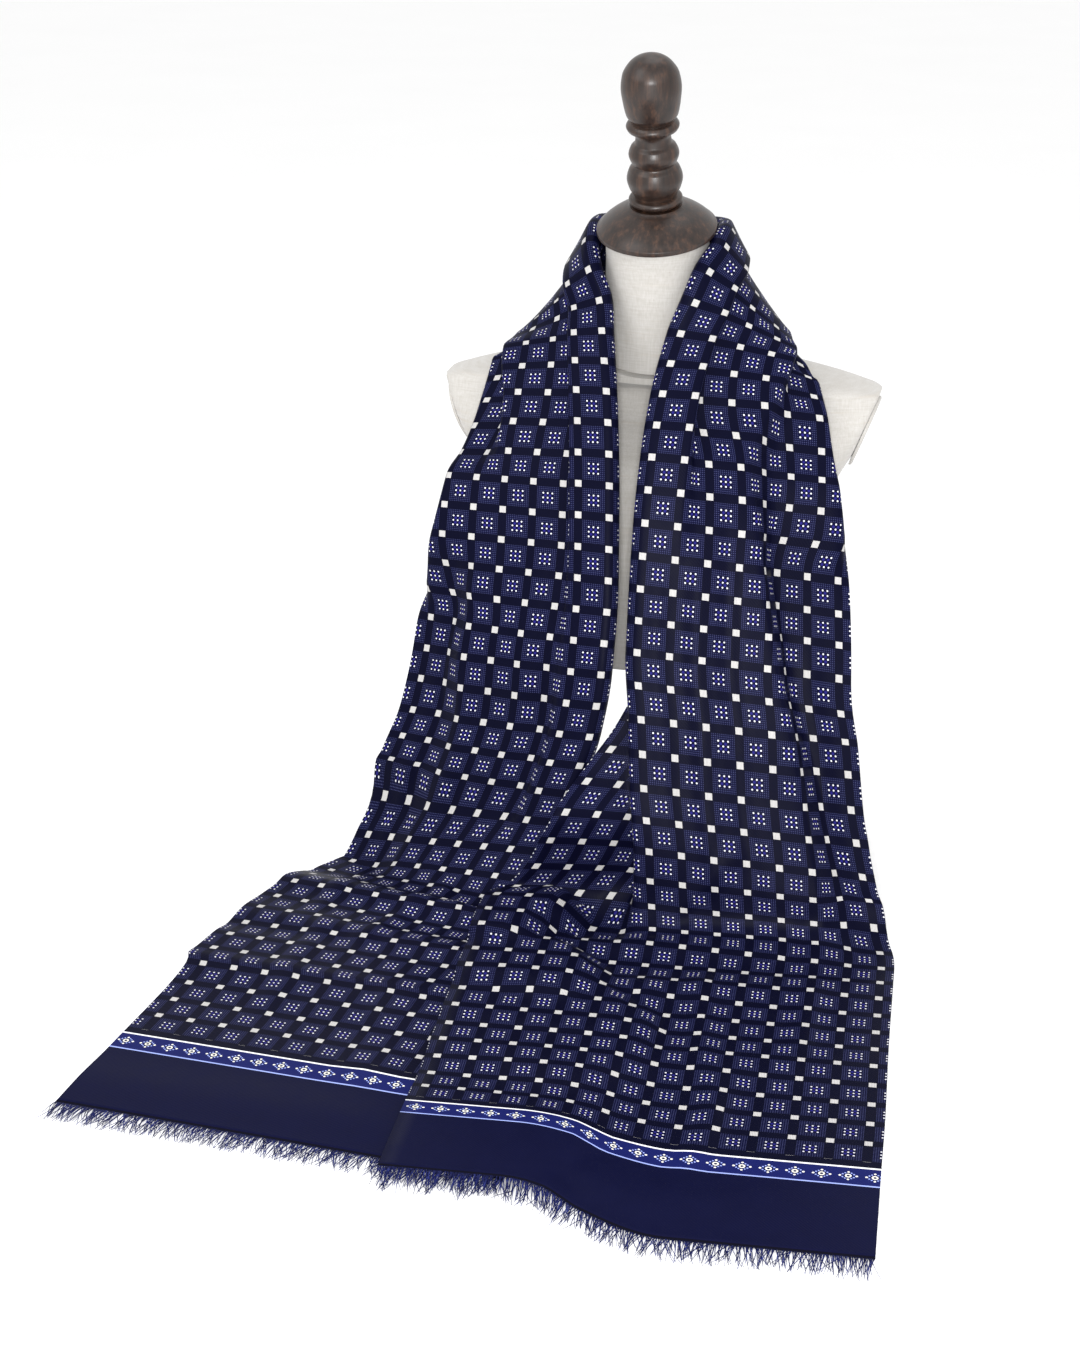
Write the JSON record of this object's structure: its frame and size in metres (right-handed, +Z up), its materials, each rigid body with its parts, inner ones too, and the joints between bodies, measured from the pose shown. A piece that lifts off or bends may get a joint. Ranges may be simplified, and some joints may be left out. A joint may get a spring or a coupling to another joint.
{
  "type": "silk scarf draped on a limbless dress form",
  "caption": "Printed silk scarf with fringed ends, hung round the neck of a limbless linen dress form with a turned-wood neck cap and finial.",
  "frame": {"origin": "middle of the stand's underside, on the floor", "axes": "+Z up, the form faces -Y, +X is the viewer's right from the front"},
  "size_m": [0.5584, 0.76, 0.6458],
  "materials": {
    "silk": "satin, small repeat print",
    "yarn": "twisted yarn",
    "linen": "plain weave with slubs",
    "wood": "dark stain, satin",
    "metal": "satin"
  },
  "bodies": {
    "root": {"scarf_neck": "silk", "scarf_fall_right": "silk", "scarf_fall_left": "silk", "scarf_end_right": "silk", "scarf_end_left": "silk", "fringe_right": "yarn", "fringe_left": "yarn", "form_torso": "linen", "form_neck": "linen", "arm_plate_right": "linen", "arm_plate_left": "linen", "neck_cap": "wood", "finial": "wood", "stand_pole": "metal", "stand_base": "metal"}
  },
  "joints": []
}
